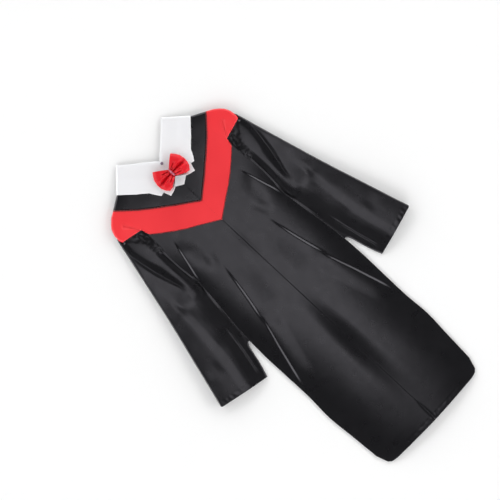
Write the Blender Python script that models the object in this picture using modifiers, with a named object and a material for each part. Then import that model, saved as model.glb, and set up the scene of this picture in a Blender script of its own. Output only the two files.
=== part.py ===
"""A child's graduation gown of black satin, laid flat on its back with the sleeves angled down.

The gown lies on the plane z = 0, neck towards +Y and hem towards -Y; +X is the wearer's left.
A place on it is written as a pattern cutter would: how far across from the centre front, and how
far it drops below the two top corners of the collar. Both are in metres, as is everything else.
Heights are those of cloth that lies softly on the layer below: low at a fold or a seam and higher
in between, with the long folds added as ridges and troughs."""

import math
from collections import namedtuple

import bmesh
import bpy
from mathutils import Vector

# Driving dimensions
LENGTH = 0.7733  # collar's top corners to the hem
CLOTH = 0.001  # satin with its seam turnings
SEAM_GAP = 0.0003  # between two pieces that are sewn edge to edge
MITRE_GAP = 0.0010  # between the two halves of a V band, whose walls lean towards each other
LAY_GAP = 0.0004  # between a piece and what it lies on
TWO_LAYERS = 0.0024  # the least height of a folded tube
BOW_PLACE = (0.0, 0.0880)  # middle of the bow, across and drop
RIBBON_WAIST = 0.0028  # both layers of the red bow's loop where it is tied
NECK_POINT = (0.0, 0.0542)  # bottom of the neck's V
COLLAR_CORNER = (0.0633, 0.0)  # where the neck's edge meets the shoulder
BLACK_UNDER_WHITE = 0.0430  # the black band starts this far from the neck's edge
WHITE_CLIMB = (0.028, 0.040)  # the white collar climbs onto the black band between these

# Colours as linear red, green and blue
BLACK_SATIN = (0.012, 0.012, 0.014)
RED_SATIN = (0.78, 0.035, 0.045)
WHITE_POPLIN = (0.82, 0.83, 0.86)
PALE_THREAD = (0.80, 0.42, 0.47)
MAUVE_PLASTIC = (0.34, 0.28, 0.36)

# Outlines of the wearer's left half, as points (across, drop)
SHOULDER_LINE = (
    COLLAR_CORNER, (0.1045, 0.0399), (0.1292, 0.0542), (0.1425, 0.0618), (0.1520, 0.0703),
    (0.1577, 0.0770), (0.1625, 0.0893), (0.1634, 0.1026), (0.1615, 0.1093),
)
RED_INNER_EDGE = (
    (0.0, 0.1634), (0.0380, 0.1349), (0.0760, 0.1045), (0.0950, 0.0884), (0.1292, 0.0542),
)
RED_OUTER_EDGE = (
    (0.0, 0.2185), (0.0380, 0.1938), (0.0570, 0.1824), (0.0760, 0.1691), (0.0950, 0.1539),
    (0.1140, 0.1378), (0.1178, 0.1197), (0.1330, 0.1159), (0.1615, 0.1093),
)
FRONT_TOP_EDGE = (
    (0.0, 0.2075), (0.0380, 0.1828), (0.0760, 0.1581), (0.0950, 0.1429), (0.1165, 0.1170),
)
HEM_EDGE = ((0.0, LENGTH), (0.1045, 0.7714), (0.1216, 0.7640))
COLLAR_LOWER_EDGE = (
    (0.0, 0.1118), (0.0140, 0.1092), (0.0240, 0.1060), (0.0388, 0.1022), (0.0456, 0.1036),
    (0.0530, 0.0922), (0.0580, 0.0830), (0.0665, 0.0750), (0.0760, 0.0668), (0.1040, 0.0389),
)
ARMHOLE = (
    (0.1500, 0.0780), (0.1320, 0.0880), (0.1185, 0.1040), (0.1125, 0.1250), (0.1110, 0.1650),
    (0.1110, 0.2200), (0.1105, 0.2870),
)
SLEEVE_OUTER_EDGE = (
    (0.1500, 0.0780), (0.1580, 0.0860), (0.1645, 0.0980), (0.1680, 0.1083), (0.1774, 0.1463),
    (0.1919, 0.2033), (0.2115, 0.2793), (0.2329, 0.3553), (0.2544, 0.4313), (0.2622, 0.4579),
)
SLEEVE_INNER_EDGE = (
    (0.1105, 0.2870), (0.1130, 0.3200), (0.1190, 0.3520), (0.1250, 0.3800), (0.1300, 0.4010),
    (0.1362, 0.4125), (0.1410, 0.4199), (0.1463, 0.4370), (0.1520, 0.4636), (0.1606, 0.4855),
)
CUFF = ((0.2622, 0.4579), (0.2584, 0.4612), (0.1606, 0.4855))

TAB_TOP_EDGE = ((0.0, 0.0960), (0.0150, 0.1100))
TAB_LOWER_EDGE = ((0.0, 0.1197), (0.0152, 0.1103))

# Bow outlines, measured from BOW_PLACE: one point of the waist and of the outer end for each ray
BowRay = namedtuple("BowRay", "waist_drop outer_across outer_drop")
RED_BOW_RAYS = (
    BowRay(-0.0090, 0.0247, -0.0276),
    BowRay(-0.0064, 0.0300, -0.0210),
    BowRay(-0.0040, 0.0344, -0.0130),
    BowRay(-0.0015, 0.0364, -0.0030),
    BowRay(0.0015, 0.0358, 0.0065),
    BowRay(0.0040, 0.0326, 0.0148),
    BowRay(0.0064, 0.0270, 0.0211),
    BowRay(0.0086, 0.0190, 0.0202),
)
WHITE_BOW_RAYS = (
    BowRay(-0.0100, 0.0290, -0.0300),
    BowRay(-0.0060, 0.0370, -0.0170),
    BowRay(-0.0015, 0.0400, -0.0020),
    BowRay(0.0040, 0.0378, 0.0140),
    BowRay(0.0075, 0.0330, 0.0289),
    BowRay(0.0098, 0.0160, 0.0236),
)

# Body of the gown: half its width, and the height of the front at its edge and in its middle
BodyRow = namedtuple("BodyRow", "drop half_width edge_height crown")
BODY = (
    BodyRow(0.1170, 0.1165, 0.0096, 0.0115),
    BodyRow(0.1650, 0.1178, 0.0088, 0.0125),
    BodyRow(0.2030, 0.1207, 0.0086, 0.0135),
    BodyRow(0.2410, 0.1192, 0.0078, 0.0145),
    BodyRow(0.2600, 0.1174, 0.0070, 0.0148),
    BodyRow(0.3080, 0.1216, 0.0060, 0.0150),
    BodyRow(0.3650, 0.1292, 0.0056, 0.0150),
    BodyRow(0.4130, 0.1332, 0.0048, 0.0148),
    BodyRow(0.4400, 0.1342, 0.0030, 0.0145),
    BodyRow(0.4700, 0.1349, 0.0025, 0.0142),
    BodyRow(0.5650, 0.1341, 0.0025, 0.0135),
    BodyRow(0.6250, 0.1368, 0.0025, 0.0130),
    BodyRow(0.6820, 0.1330, 0.0025, 0.0125),
    BodyRow(0.7410, 0.1292, 0.0025, 0.0118),
    BodyRow(0.7640, 0.1216, 0.0025, 0.0112),
    BodyRow(0.7740, 0.1180, 0.0025, 0.0110),
)
SleeveRow = namedtuple("SleeveRow", "drop crown")
SLEEVE = (
    SleeveRow(0.080, 0.0085),
    SleeveRow(0.130, 0.0105),
    SleeveRow(0.200, 0.0118),
    SleeveRow(0.280, 0.0112),
    SleeveRow(0.360, 0.0098),
    SleeveRow(0.420, 0.0088),
    SleeveRow(0.490, 0.0080),
)
BODY_EDGE_REACH = 0.052  # the front rises from its side edge over this width
SLEEVE_OUTER_REACH = 0.034
SLEEVE_INNER_REACH = 0.030

# Folds: a line across the cloth, its height (a trough is negative), and how wide it is on the
# side towards the centre front and on the other side
Fold = namedtuple("Fold", "name line height inner_width outer_width")
BODY_FOLDS = (
    Fold("bust", ((0.0910, 0.171), (0.0990, 0.203), (0.1100, 0.241), (0.1165, 0.264)),
         0.0024, 0.018, 0.010),
    Fold("hip", ((0.0630, 0.298), (0.0720, 0.346), (0.0800, 0.374), (0.0870, 0.403),
                 (0.0950, 0.431), (0.1080, 0.479), (0.1220, 0.526), (0.1300, 0.548)),
         0.0028, 0.024, 0.013),
    Fold("centre crease", ((0.0, 0.222), (0.0, 0.270), (0.0, 0.330)), -0.0014, 0.008, 0.008),
    Fold("skirt trough", ((0.0, 0.410), (0.0, 0.480), (0.0, 0.560), (0.0, 0.650)),
         -0.0040, 0.022, 0.022),
    Fold("hem pleat", ((0.0, 0.690), (0.0, 0.735), (0.0, 0.800)), -0.0032, 0.009, 0.009),
    Fold("skirt ridge", ((0.0350, 0.500), (0.0380, 0.600), (0.0400, 0.800)), 0.0016, 0.022, 0.026),
)
SLEEVE_FOLDS = (
    Fold("head fold", ((0.1600, 0.1180), (0.1440, 0.1390), (0.1290, 0.1600)), 0.0042, 0.009, 0.034),
    Fold("armpit pocket", ((0.1280, 0.1720), (0.1260, 0.1950), (0.1230, 0.2300), (0.1230, 0.2650),
                           (0.1270, 0.3000), (0.1310, 0.3350)), -0.0042, 0.010, 0.010),
    Fold("elbow ridge", ((0.1460, 0.1560), (0.1410, 0.2030), (0.1370, 0.2410), (0.1350, 0.2700)),
         0.0034, 0.011, 0.011),
    Fold("shoulder trough", ((0.1750, 0.1270), (0.1670, 0.1560), (0.1580, 0.1840),
                             (0.1520, 0.2130), (0.1460, 0.2410), (0.1420, 0.2620)),
         -0.0040, 0.010, 0.011),
    Fold("swag", ((0.1290, 0.2600), (0.1330, 0.2760), (0.1420, 0.2850), (0.1520, 0.2760),
                  (0.1670, 0.2640), (0.1800, 0.2560), (0.1900, 0.2500)), 0.0032, 0.010, 0.010),
    Fold("elbow hollow", ((0.1800, 0.2680), (0.1670, 0.2830), (0.1520, 0.2980), (0.1390, 0.3060)),
         -0.0030, 0.012, 0.012),
    Fold("forearm ridge", ((0.1900, 0.2450), (0.1930, 0.3000), (0.1930, 0.3800), (0.1960, 0.4600)),
         0.0020, 0.015, 0.015),
    Fold("inner trough", ((0.1650, 0.3350), (0.1650, 0.3900), (0.1740, 0.4700)),
         -0.0016, 0.014, 0.014),
    Fold("outer trough", ((0.2050, 0.2900), (0.2110, 0.3500), (0.2160, 0.4100)),
         -0.0012, 0.010, 0.010),
)
GATHER_PITCH = 0.009  # from one small pleat of the sleeve head to the next
GATHER_HEIGHT = 0.0015
GATHER_START, GATHER_PLEATS = 0.0495, 7  # along the armhole from the shoulder
CAP_CREASE = ((0.1216, 0.1178), (0.1300, 0.1020), (0.1370, 0.0912))
CAP_MIDDLE = (0.1450, 0.0930)


# Plain sums
def smooth(t):
    t = min(max(t, 0.0), 1.0)
    return t * t * (3 - 2 * t)


def rise(t):
    """How soft cloth lifts away from a fold: steep at the fold, level after one reach."""
    return 1 - (1 - min(max(t, 0.0), 1.0)) ** 2.3


def bump(t):
    return (1 - t * t) ** 2 if abs(t) < 1 else 0.0


def blend(a, b, t):
    return a + (b - a) * t


def column(rows, name, drop):
    """One named column of a table at a drop, in straight lines between its rows."""
    for low, high in zip(rows, rows[1:]):
        if drop <= high.drop:
            share = max(drop - low.drop, 0.0) / (high.drop - low.drop)
            return blend(getattr(low, name), getattr(high, name), share)
    return getattr(rows[-1], name)


# Lines of points (across, drop)
def length_of(line):
    return sum(math.dist(a, b) for a, b in zip(line, line[1:]))


def along(line, share):
    """The point at a share of the line's length."""
    left = min(max(share, 0.0), 1.0) * length_of(line)
    for a, b in zip(line, line[1:]):
        step = math.dist(a, b)
        if left <= step or b is line[-1]:
            t = min(left / step, 1.0)
            return (blend(a[0], b[0], t), blend(a[1], b[1], t))
        left -= step


def drop_at(line, across):
    """The drop of a line that runs outwards, at a distance across."""
    for a, b in zip(line, line[1:]):
        if across <= b[0]:
            return blend(a[1], b[1], (across - a[0]) / (b[0] - a[0]))
    return line[-1][1]


def nearest(line, across, drop):
    """(distance, length along the line, side) of the nearest point; side is +1 on its outer side."""
    best = (9.0, 0.0, 1.0)
    walked = 0.0
    for a, b in zip(line, line[1:]):
        run = (b[0] - a[0], b[1] - a[1])
        step = math.hypot(*run)
        t = ((across - a[0]) * run[0] + (drop - a[1]) * run[1]) / (step * step)
        t = min(max(t, 0.0), 1.0)
        off = (across - a[0] - t * run[0], drop - a[1] - t * run[1])
        distance = math.hypot(*off)
        if distance < best[0]:
            turn = run[1] * off[0] - run[0] * off[1]
            best = (distance, walked + t * step, 1.0 if turn >= 0 else -1.0)
        walked += step
    return best


def shares(line, pieces):
    """Shares of the line's length: its corners, with each stretch cut into equal steps."""
    whole = length_of(line)
    step = whole / pieces
    walked, found = 0.0, [0.0]
    for a, b in zip(line, line[1:]):
        stretch = math.dist(a, b)
        cuts = max(1, round(stretch / step))
        found += [(walked + stretch * k / cuts) / whole for k in range(1, cuts + 1)]
        walked += stretch
    return found


# Heights of the cloth
def fold_height(folds, across, drop):
    """Sum of the ridges and troughs at a point; each fades out over a sixth of its length."""
    total = 0.0
    for fold in folds:
        distance, walked, side = nearest(fold.line, across, drop)
        width = fold.outer_width if side > 0 else fold.inner_width
        if distance < width:
            share = walked / length_of(fold.line)
            ends = smooth(share * 6) * smooth((1 - share) * 6)
            total += fold.height * ends * bump(distance / width)
    return total


def from_neck(across, drop):
    """Distance from the neck's edge, square to it."""
    run = (COLLAR_CORNER[0] - NECK_POINT[0], COLLAR_CORNER[1] - NECK_POINT[1])
    off = (across - NECK_POINT[0], drop - NECK_POINT[1])
    return (run[0] * off[1] - run[1] * off[0]) / math.hypot(*run)


def yoke_bed(across, drop):
    """Height of what the two V bands lie on: low at the neck and shoulder, full at the chest."""
    crown = blend(0.0052, 0.0098, smooth(from_neck(across, drop) / 0.075))
    crown += 0.0022 * smooth((drop - 0.12) / 0.09) * (1 - smooth(across / 0.10))
    edge = blend(0.0013, 0.0052, smooth((drop - 0.072) / 0.026))
    return blend(edge, crown, rise(nearest(SHOULDER_LINE, across, drop)[0] / 0.030))


def body_height(across, drop):
    edge = column(BODY, "edge_height", drop)
    crown = column(BODY, "crown", drop)
    inside = column(BODY, "half_width", drop) - across
    lift = rise(inside / BODY_EDGE_REACH)
    folds = fold_height(BODY_FOLDS, across, drop) * rise(inside / 0.010)
    return blend(edge, crown, lift) + folds


def front_height(across, drop):
    """Top of the front panel: it follows the yoke under the red band and the body below it."""
    below = drop - drop_at(RED_OUTER_EDGE[:6], across)
    return blend(yoke_bed(across, drop), body_height(across, drop), smooth(below / 0.060))


def gathers(across, drop):
    """The small pleats of the sleeve head, square to the armhole."""
    distance, walked, _ = nearest(ARMHOLE, across, drop)
    count = (walked - GATHER_START) / GATHER_PITCH
    if not 0 <= count <= GATHER_PLEATS:
        return 0.0
    fade = smooth((distance - 0.005) / 0.005) * (1 - smooth((distance - 0.014) / 0.014))
    return -GATHER_HEIGHT * math.cos(2 * math.pi * count) * fade


def sleeve_height(across, drop):
    """Top of the sleeve's upper layer."""
    to_outer = nearest(SLEEVE_OUTER_EDGE, across, drop)[0]
    to_inner = nearest(SLEEVE_INNER_EDGE, across, drop)[0]
    to_armhole = nearest(ARMHOLE, across, drop)[0]
    open_share = rise(to_outer / SLEEVE_OUTER_REACH) * rise(to_inner / SLEEVE_INNER_REACH)
    full = blend(TWO_LAYERS, column(SLEEVE, "crown", drop), open_share)
    at_armhole = column(BODY, "edge_height", drop) - CLOTH - 2 * LAY_GAP
    height = blend(min(full, at_armhole), full, smooth(to_armhole / 0.026))
    free = rise(to_outer / 0.012) * rise(to_inner / 0.012) * smooth((to_armhole - 0.004) / 0.008)
    height += fold_height(SLEEVE_FOLDS, across, drop) * free + gathers(across, drop)
    return max(min(height, under_body(across, drop), under_cap(across, drop)), TWO_LAYERS)


def under_body(across, drop):
    """The most the sleeve may rise where the front's edge lies over it, and beside that edge."""
    if not 0.117 < drop < 0.420:
        return 1.0
    past = across - column(BODY, "half_width", drop)
    room = front_height(min(across, across - past), drop) - CLOTH - 0.0009
    return room + max(past - 0.004, 0.0) * 0.4


def under_cap(across, drop):
    """The most the sleeve may rise under the red cap of the shoulder, and just below the cap."""
    past = drop - blend(0.1197, 0.1093, (across - 0.1178) / 0.0437) if across > 0.112 else 1.0
    return yoke_bed(across, min(drop, drop - past)) - 0.0003 + max(past - 0.003, 0.0) * 0.6


def cap_lift(across, drop):
    """The red cap's loose bulge over the sleeve head, with a crease running up from its notch."""
    round_cap = bump(math.dist((across, drop), CAP_MIDDLE) / 0.034)
    crease = bump(nearest(CAP_CREASE, across, drop)[0] / 0.010)
    return 0.0026 * round_cap * (1 - 0.9 * crease) + 0.0004 * crease


def collar_bed(across, drop):
    """What the white collar lies on: the yoke near the neck, then the black band."""
    neck = from_neck(across, drop)
    start, end = WHITE_CLIMB
    climb = (CLOTH + LAY_GAP) * smooth((neck - start) / (end - start))
    roll = 0.0020 * (1 - rise(neck / 0.009))
    return max(yoke_bed(across, drop) + climb - roll, CLOTH)


# Turning points into solids
def at(across, drop, height, side=1):
    """A point in space for a place on the gown; side is +1 on the wearer's left, -1 on the right."""
    return Vector((side * across, LENGTH / 2 - drop, height))


def material(name, colour, roughness, metallic=0.0):
    made = bpy.data.materials.new(name)
    made.use_nodes = True
    shader = made.node_tree.nodes["Principled BSDF"]
    shader.inputs["Base Color"].default_value = (*colour, 1.0)
    shader.inputs["Roughness"].default_value = roughness
    shader.inputs["Metallic"].default_value = metallic
    return made


def add(name, mesh, finish, gown):
    obj = bpy.data.objects.new(name, mesh)
    obj.data.materials.append(finish)
    gown.objects.link(obj)
    return obj


def sheet(name, rows, finish, gown, side=1, ring=False, outwards=False):
    """A wall of cloth through rows of points. Its rows are closed into a loop if ring is set.

    The points are its upper face, or its lower face if outwards is set."""
    mesh = bmesh.new()
    grid = [[mesh.verts.new(point) for point in row] for row in rows]
    for near, far in zip(grid, grid[1:]):
        last = len(near) if ring else len(near) - 1
        for k in range(last):
            j = (k + 1) % len(near)
            outwards_round = (far[k], far[j], near[j]) if side > 0 else (near[j], far[j], far[k])
            mesh.faces.new((near[k], *outwards_round))
    data = bpy.data.meshes.new(name)
    mesh.to_mesh(data)
    mesh.free()
    obj = add(name, data, finish, gown)
    wall = obj.modifiers.new("cloth wall", "SOLIDIFY")
    wall.thickness = CLOTH
    wall.offset = 1.0 if outwards else -1.0
    obj.data.shade_smooth()
    return obj


def flat_piece(name, outline, finish, gown):
    """A piece that lies flat on the ground, cut to the outline and to its mirror image."""
    curve = bpy.data.curves.new(name, "CURVE")
    curve.dimensions = "2D"
    curve.fill_mode = "BOTH"
    curve.extrude = CLOTH / 2
    spline = curve.splines.new("POLY")
    other_half = [(-across, drop) for across, drop in reversed(outline) if across > 0]
    whole = list(outline) + other_half
    spline.points.add(len(whole) - 1)
    for point, (across, drop) in zip(spline.points, whole):
        point.co = (*at(across, drop, 0)[:2], 0, 1)
    spline.use_cyclic_u = True
    obj = add(name, curve, finish, gown)
    obj.location.z = CLOTH / 2
    return obj


def between(start_edge, end_edge, first_side, last_side, p, q):
    """A point of the patch inside four edges. p runs along the two sides, q from one to the other."""
    a, b = along(first_side, p), along(last_side, p)
    c, d = along(start_edge, q), along(end_edge, q)
    corners = (first_side[0], first_side[-1], last_side[0], last_side[-1])
    found = []
    for k in range(2):
        ruled = blend(a[k], b[k], q) + blend(c[k], d[k], p)
        near = blend(corners[0][k], corners[1][k], p)
        far = blend(corners[2][k], corners[3][k], p)
        found.append(ruled - blend(near, far, q))
    return found


# The pieces
def build_back(black, white, gown):
    inset = 0.0010
    armhole = [(across - 0.0006, drop) for across, drop in ARMHOLE[1:]]
    underarm = [(across - 0.0006, drop) for across, drop in SLEEVE_INNER_EDGE[1:5]]
    side_seam = [
        (row.half_width - inset, row.drop) for row in BODY if 0.413 <= row.drop <= 0.764
    ]
    neck = [(0.0, 0.1134), (0.0926, 0.0326)]
    shoulder = [(0.1035, 0.0425), (0.1275, 0.0560), (0.1420, 0.0645), (0.1470, 0.0700)]
    hem = [(0.1035, 0.7704), (0.0, LENGTH - inset)]
    outline = neck + shoulder + armhole + underarm + side_seam + hem
    flat_piece("back", outline, black, gown)
    band = [(0.0, 0.0556), (0.0626, 0.0022), (0.0920, 0.0320), (0.0, 0.1128)]
    flat_piece("collar_back", band, white, gown)


def build_front(side, name, black, gown):
    widths = [0, 0.05, 0.11, 0.18, 0.26, 0.34, 0.42, 0.50, 0.58, 0.66, 0.73, 0.80, 0.86, 0.92, 0.97, 1]
    rows = 31
    grid = []
    for j in range(rows):
        row = []
        for share in widths:
            top = drop_at(FRONT_TOP_EDGE, share * FRONT_TOP_EDGE[-1][0])
            bottom = drop_at(HEM_EDGE, share * HEM_EDGE[-1][0])
            drop = blend(top, bottom, (j / (rows - 1)) ** 1.12)
            across = blend(SEAM_GAP / 2, column(BODY, "half_width", drop), share)
            if j == rows - 1:
                across = blend(SEAM_GAP / 2, HEM_EDGE[-1][0], share)
            row.append(at(across, drop, front_height(across, drop), side))
        grid.append(row)
    sheet(name, grid, black, gown, side)


def build_sleeve(side, hand, black, gown):
    """The two layers of a sleeve laid flat, which meet at the outer fold and the underarm seam."""
    pleat = GATHER_PITCH / 2 / length_of(ARMHOLE)
    first = GATHER_START / length_of(ARMHOLE)
    pleats = [first + k * pleat for k in range(2 * GATHER_PLEATS + 1)]
    upper = [0, 0.02, 0.06, 0.12, 0.17] + pleats + [0.56, 0.64, 0.73, 0.82, 0.90, 0.955, 0.986, 1]
    stations = (0, 0.018, 0.04, 0.068, 0.10, 0.135, 0.17, 0.21, 0.25, 0.29, 0.335,
                0.38, 0.43, 0.49, 0.56, 0.63, 0.70, 0.78, 0.86, 0.93, 1)
    top_layer, under_layer = [], []
    for p in stations:
        places = [between(ARMHOLE, CUFF, SLEEVE_OUTER_EDGE, SLEEVE_INNER_EDGE, p, q) for q in upper]
        top_layer.append([at(a, d, sleeve_height(a, d), side) for a, d in places])
        under_layer.append([at(*places[k], CLOTH, side) for k in (0, 3, 9, 15, 20, 24, 27)])
    sheet("sleeve_" + hand, top_layer, black, gown, -side)
    sheet("sleeve_under_" + hand, under_layer, black, gown, -side)


def build_band(side, name, inner, outer, end, height, pieces, finish, gown):
    """A strip of the V yoke, from the mitre at the centre front up to the shoulder."""
    across_steps, stations = pieces
    start = (inner[0], outer[0])
    grid = []
    for p in shares(outer, stations):
        row = []
        for k in range(across_steps + 1):
            across, drop = between(start, end, inner, outer, p, k / across_steps)
            across = max(across, MITRE_GAP / 2)
            row.append(at(across, drop, height(across, drop), side))
        grid.append(row)
    sheet(name, grid, finish, gown, -side, outwards=True)


def red_underside(across, drop):
    return yoke_bed(across, drop) + LAY_GAP + cap_lift(across, drop)


def black_underside(across, drop):
    return yoke_bed(across, drop) + LAY_GAP


def collar_underside(across, drop):
    return collar_bed(across, drop) + LAY_GAP


def moved(line, across, drop):
    return tuple((point[0] + across, point[1] + drop) for point in line)


def build_yoke(side, hand, black, red, white, gown):
    half_seam = SEAM_GAP / 2
    red_inner = moved(RED_INNER_EDGE, half_seam, half_seam)
    cap_end = moved(SHOULDER_LINE[2:], half_seam, half_seam)
    build_band(side, "red_band_" + hand, red_inner, RED_OUTER_EDGE, cap_end,
               red_underside, (6, 20), red, gown)
    black_outer = moved(RED_INNER_EDGE, -half_seam, -half_seam)
    black_inner = ((0.0, NECK_POINT[1] + 0.0566), (0.0943, 0.0300))
    black_end = (black_inner[-1], (0.1045, 0.0399), black_outer[-1])
    build_band(side, "black_band_" + hand, black_inner, black_outer, black_end,
               black_underside, (4, 14), black, gown)
    collar_end = (COLLAR_CORNER, COLLAR_LOWER_EDGE[-1])
    build_band(side, "collar_" + hand, (NECK_POINT, COLLAR_CORNER), COLLAR_LOWER_EDGE, collar_end,
               collar_underside, (7, 16), white, gown)


def build_tab(white, gown):
    """The pointed end of the collar's placket, which shows below the bow."""
    grid = []
    for top, foot in zip(shares(TAB_TOP_EDGE, 6), shares(TAB_LOWER_EDGE, 6)):
        high, low = along(TAB_TOP_EDGE, top), along(TAB_LOWER_EDGE, foot)
        places = [(blend(high[0], low[0], k / 5), blend(high[1], low[1], k / 5)) for k in range(6)]
        grid.append([at(a, d, collar_top(a, d) + LAY_GAP) for a, d in places])
    other_half = [[Vector((-x, y, z)) for x, y, z in row] for row in grid[:0:-1]]
    sheet("collar_tab", other_half + grid, white, gown, -1, outwards=True)


def collar_top(across, drop):
    return collar_bed(across, drop) + LAY_GAP + CLOTH


def bow_floor(across, drop):
    """Top of the collar and its tab, where the bow is tied."""
    tab_edge = 0.0152 - across + 0.3 * min(drop - 0.0940, 0.0)
    tab = (CLOTH + LAY_GAP) * smooth((tab_edge + 0.010) / 0.008) * smooth((drop - 0.085) / 0.009)
    return collar_top(across, drop) + tab + 0.0002


def ribbon_floor(across, drop):
    """Underside of the red bow, which lies on the white one."""
    return bow_floor(across, drop) + CLOTH + 2 * LAY_GAP + 0.0003


def bow_point(ray, outwards):
    """The place on a bow's ray at a share from the waist to the outer end."""
    across = blend(0.0011, ray.outer_across, outwards)
    drop = BOW_PLACE[1] + blend(ray.waist_drop, ray.outer_drop, outwards)
    return across, drop


def build_white_bow(side, name, white, gown):
    grid = []
    for ray in WHITE_BOW_RAYS:
        places = [bow_point(ray, k / 6) for k in range(7)]
        grid.append([at(a, d, bow_floor(a, d) + LAY_GAP, side) for a, d in places])
    sheet(name, grid, white, gown, side, outwards=True)


def build_red_bow(side, name, red, gown):
    """A loop of ribbon: out along the collar, round its end and back, pleated at the waist."""
    steps = (0, 0.16, 0.36, 0.58, 0.78, 0.93)
    grid = []
    for number, ray in enumerate(RED_BOW_RAYS):
        loop = []
        for outwards in steps:
            across, drop = bow_point(ray, outwards)
            loop.append(at(across, drop, ribbon_floor(across, drop), side))
        across, drop = bow_point(ray, 1.0)
        loop.append(at(across, drop, ribbon_floor(across, drop) + 0.0022, side))
        pleat = 0.0012 * (1 if number % 2 else -1)
        for outwards in reversed(steps):
            across, drop = bow_point(ray, outwards)
            waist = ribbon_floor(across, drop) + RIBBON_WAIST
            puff = 0.0062 * rise(outwards / 0.5) * rise((1.04 - outwards) / 0.45)
            crease = pleat * bump((outwards - 0.35) / 0.5)
            loop.append(at(across, drop, waist + puff + crease, side))
        grid.append(loop)
    sheet(name, grid, red, gown, -side)


def build_fastenings(thread, plastic, gown):
    """The wound waist of the bow, and the snap that closes the neck."""
    across, drop = BOW_PLACE
    waist_top = max(ribbon_floor(0.003, drop + step) for step in (-0.009, 0.0, 0.009)) + RIBBON_WAIST
    knot = bpy.data.meshes.new("bow_knot")
    shape = bmesh.new()
    bmesh.ops.create_uvsphere(shape, u_segments=14, v_segments=8, radius=1.0)
    bmesh.ops.scale(shape, vec=Vector((0.0030, 0.0088, 0.0020)), verts=shape.verts)
    shape.to_mesh(knot)
    shape.free()
    obj = add("bow_knot", knot, thread, gown)
    obj.location = at(across, drop, waist_top + 0.0020 + SEAM_GAP)
    obj.data.shade_smooth()

    snap = bpy.data.meshes.new("neck_snap")
    shape = bmesh.new()
    bmesh.ops.create_cone(shape, cap_ends=True, segments=16, radius1=0.0030, radius2=0.0022,
                          depth=0.0012)
    shape.to_mesh(snap)
    shape.free()
    obj = add("neck_snap", snap, plastic, gown)
    snap_drop = NECK_POINT[1] + 0.0070
    obj.location = at(0, snap_drop, bow_floor(0, snap_drop) + 0.0007 + SEAM_GAP)


def main():
    for obj in list(bpy.data.objects):
        bpy.data.objects.remove(obj)
    gown = bpy.data.collections.new("graduation_gown")
    bpy.context.scene.collection.children.link(gown)
    black = material("black satin", BLACK_SATIN, 0.38)
    red = material("red satin", RED_SATIN, 0.45)
    white = material("white poplin", WHITE_POPLIN, 0.75)
    thread = material("pale thread", PALE_THREAD, 0.60)
    plastic = material("mauve plastic", MAUVE_PLASTIC, 0.35)
    build_back(black, white, gown)
    for side, hand in ((1, "left"), (-1, "right")):
        build_front(side, "front_" + hand, black, gown)
        build_sleeve(side, hand, black, gown)
        build_yoke(side, hand, black, red, white, gown)
        build_white_bow(side, "white_bow_" + hand, white, gown)
        build_red_bow(side, "red_bow_" + hand, red, gown)
    build_tab(white, gown)
    build_fastenings(thread, plastic, gown)


main()
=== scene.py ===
"""Looks for a child's graduation gown of black satin, laid flat on its back.

A place on the gown is written as how far across from the centre front it is and how far it drops
below the collar's two top corners, in metres. The right half mirrors the left one."""

import math
from collections import namedtuple

import bpy
import numpy as np
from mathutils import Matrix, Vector

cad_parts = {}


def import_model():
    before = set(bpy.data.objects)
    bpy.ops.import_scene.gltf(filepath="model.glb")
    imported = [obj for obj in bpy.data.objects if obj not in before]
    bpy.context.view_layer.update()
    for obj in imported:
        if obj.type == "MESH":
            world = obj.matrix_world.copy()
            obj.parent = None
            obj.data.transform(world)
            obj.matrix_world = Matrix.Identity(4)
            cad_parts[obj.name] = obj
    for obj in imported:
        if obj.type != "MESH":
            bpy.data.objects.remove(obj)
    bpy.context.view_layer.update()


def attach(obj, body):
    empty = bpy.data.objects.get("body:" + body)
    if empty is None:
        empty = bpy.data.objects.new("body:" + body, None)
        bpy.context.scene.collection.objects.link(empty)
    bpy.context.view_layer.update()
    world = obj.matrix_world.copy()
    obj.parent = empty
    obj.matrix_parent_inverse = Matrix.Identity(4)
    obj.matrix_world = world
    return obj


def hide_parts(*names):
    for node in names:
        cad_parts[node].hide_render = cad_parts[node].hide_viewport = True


# Sizes in metres
LENGTH = 0.7733  # from the collar's top corners to the hem
CLOTH = 0.001  # one layer with its seam turnings
THIN = 0.0007  # the satin itself, without seam turnings
BACK_THIN = 0.0006
BACK_TOP, BACK_UNEVEN = 0.0010, 0.0002
LAY_GAP = 0.0004  # between two layers that lie on each other
FOLDED = 0.0024  # height of a folded tube where its two layers meet
LOWEST_TOP = 0.0017  # where a sleeve's upper layer rests on the lower one
MITRE = 0.00003  # half the gap between two pieces that meet at the centre front
CUT_EDGE = 0.00022  # how far the edge of a piece is rounded
BUTTED_EDGE = 0.00003  # the same on the two fronts, which meet edge to edge
NECK_POINT = (0.0, 0.0542)
COLLAR_CORNER = (0.0633, 0.0)
WHITE_CLIMB = (0.028, 0.040)  # where the collar climbs onto the black band, from the neck
ANYTHING = 1.0  # a height limit for places that nothing lies over

# Hems of the body and the cuffs: where things are from the edge, and heights
HEM_STITCHING = 0.0095
HEM_DIP, HEM_DIP_REACH = 0.00012, 0.0018
PUCKERS_FROM_EDGE, PUCKERS_REACH = 0.006, 0.0065
PUCKER_HEIGHT, PUCKER_LENGTH = 0.0003, 0.008

# How far in from an edge a piece turns down, and by how much
RED_TURN = (0.0034, 0.0015)
BLACK_TURN = (0.0016, 0.0007)
COLLAR_TURN = (0.0012, 0.0003)
TURN_OVER_SLEEVE = (0.0010, 0.0003)
TURN_OF_HEM = (0.0004, 0.0003)
SLEEVE_ROUND, SLEEVE_UNDER_ROUND = 0.0034, 0.0016  # radii of a sleeve's folded edges

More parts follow.
